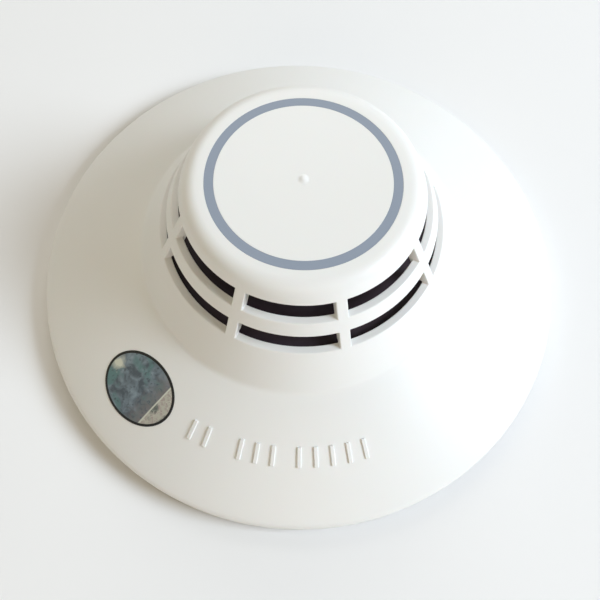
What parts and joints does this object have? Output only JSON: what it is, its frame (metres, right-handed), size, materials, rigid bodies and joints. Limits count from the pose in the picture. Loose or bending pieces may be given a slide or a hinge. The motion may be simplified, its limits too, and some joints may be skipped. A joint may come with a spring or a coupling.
{
  "type": "heat detector",
  "caption": "Ceiling heat detector with a wide domed flange, a vented head and a ring-marked flat crown, twisted on to a round mounting base.",
  "frame": {"origin": "centre of the mounting base's back face, which lies on the ceiling", "axes": "+Z out into the room along the detector's axis, towards the crown; +X along the base's nearer pair of screw slots"},
  "size_m": [0.155, 0.155, 0.0539],
  "materials": {
    "white_shell": "satin",
    "ring_grey": "satin",
    "opal_guide": "gloss",
    "black_plastic": "matte",
    "base_plastic": "matte",
    "tinned_brass": "satin",
    "bare_brass": "satin",
    "plated_steel": "satin",
    "board_green": "satin",
    "chip_black": "matte",
    "can_sleeve": "gloss",
    "glass": "gloss",
    "bead_epoxy": "gloss",
    "lamp_red": "gloss",
    "switch_blue": "satin",
    "dial_cream": "satin"
  },
  "bodies": {
    "base": {"mounting_base": "base_plastic", "contact_clip_1": "tinned_brass", "contact_clip_2": "tinned_brass", "contact_clip_3": "tinned_brass", "contact_clip_4": "tinned_brass", "wire_clamps": "plated_steel", "terminal_screws": "plated_steel"},
    "detector": {"detector_cover": "white_shell", "marking_ring": "ring_grey", "light_guide": "opal_guide", "inner_shield": "black_plastic", "rear_chassis": "base_plastic", "blade_rivets": "bare_brass", "chassis_screws": "plated_steel", "circuit_board": "board_green", "microcontroller": "chip_black", "capacitors": "can_sleeve", "reed_switch": "glass", "indicator_lamp": "lamp_red", "sensing_thermistor": "bead_epoxy", "reference_thermistor": "bead_epoxy", "address_switches": "switch_blue", "contact_blade_1": "tinned_brass", "contact_blade_2": "tinned_brass", "contact_blade_3": "tinned_brass", "contact_blade_4": "tinned_brass"},
    "tens_dial": {"address_dial_tens": "dial_cream"},
    "units_dial": {"address_dial_units": "dial_cream"}
  },
  "joints": [
    {"name": "detector_twist", "type": "hinge", "parent": "base", "child": "detector", "pos_m": [0, 0, 0.01], "axis": [0, 0, 1], "range_deg": [0, 24]},
    {"name": "tens_dial_turn", "type": "hinge", "parent": "detector", "child": "tens_dial", "pos_m": [-0.009, 0, 0.0097], "axis": [0, 0, 1], "continuous": true},
    {"name": "units_dial_turn", "type": "hinge", "parent": "detector", "child": "units_dial", "pos_m": [0.009, 0, 0.0097], "axis": [0, 0, 1], "continuous": true}
  ]
}
